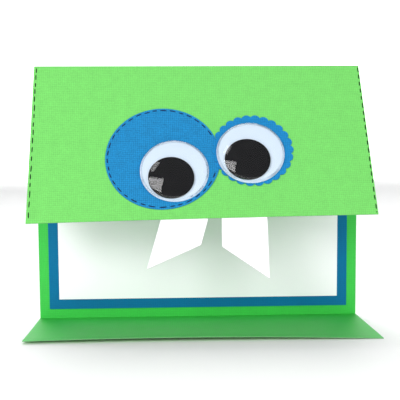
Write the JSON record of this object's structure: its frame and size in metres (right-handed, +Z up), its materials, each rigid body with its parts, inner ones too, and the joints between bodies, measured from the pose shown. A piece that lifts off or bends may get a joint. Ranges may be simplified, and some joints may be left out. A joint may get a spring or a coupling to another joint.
{
  "type": "folded card monster puppet",
  "caption": "Fold-out card monster: a card strip folded in three, with a hinged face flap, a lower lip as its foot, card patches and teeth, and two loose-pupil eyes.",
  "frame": {"origin": "middle of the foot's underside, on the ground plane", "axes": "+Z up, the face looks along -Y, +X along the folds towards the viewer's right"},
  "size_m": [0.1396, 0.0508, 0.1095],
  "materials": {
    "green_card": "ribbed matt cardstock",
    "mat_card": "matt cardstock",
    "round_patch_card": "matt cardstock",
    "scalloped_patch_card": "matt cardstock",
    "white_card": "matt cardstock",
    "tooth_card": "matt cardstock",
    "tape": "double-sided tape",
    "glue": "dried clear glue",
    "eye_white": "smooth moulded",
    "eye_black": "smooth stamped disc",
    "eye_clear": "clear vacuum-formed"
  },
  "bodies": {
    "back": {"back_panel": "green_card", "top_crease": "green_card", "bottom_crease": "green_card", "mat_tape": "tape", "blue_mat": "mat_card", "panel_tape": "tape", "white_panel": "white_card"},
    "flap": {"front_flap": "green_card", "round_patch_tape": "tape", "round_patch": "round_patch_card", "scalloped_patch_tape": "tape", "scalloped_patch": "scalloped_patch_card", "left_tooth_tape": "tape", "left_tooth": "tooth_card", "right_tooth_tape": "tape", "right_tooth": "tooth_card", "left_eye_glue": "glue", "left_eye_backing": "eye_white", "left_eye_dome": "eye_clear", "right_eye_glue": "glue", "right_eye_backing": "eye_white", "right_eye_dome": "eye_clear"},
    "lip": {"lower_lip": "green_card"},
    "left_pupil": {"left_pupil": "eye_black"},
    "right_pupil": {"right_pupil": "eye_black"}
  },
  "joints": [
    {"name": "flap_fold", "type": "hinge", "parent": "back", "child": "flap", "pos_m": [0, 0.0248, 0.1089], "axis": [-1, 0, 0], "range_deg": [-24, 150], "deforming": ["top_crease"]},
    {"name": "lip_fold", "type": "hinge", "parent": "back", "child": "lip", "pos_m": [0, 0.0248, 0.0006], "axis": [1, 0, 0], "range_deg": [-85, 0], "deforming": ["bottom_crease"]},
    {"name": "left_pupil_roll", "type": "hinge", "parent": "flap", "child": "left_pupil", "pos_m": [-0.0107, -0.00246, 0.06529], "axis": [0, -0.866, 0.5], "continuous": true},
    {"name": "right_pupil_roll", "type": "hinge", "parent": "flap", "child": "right_pupil", "pos_m": [0.02049, 0.00108, 0.07202], "axis": [0, -0.866, 0.5], "continuous": true}
  ]
}
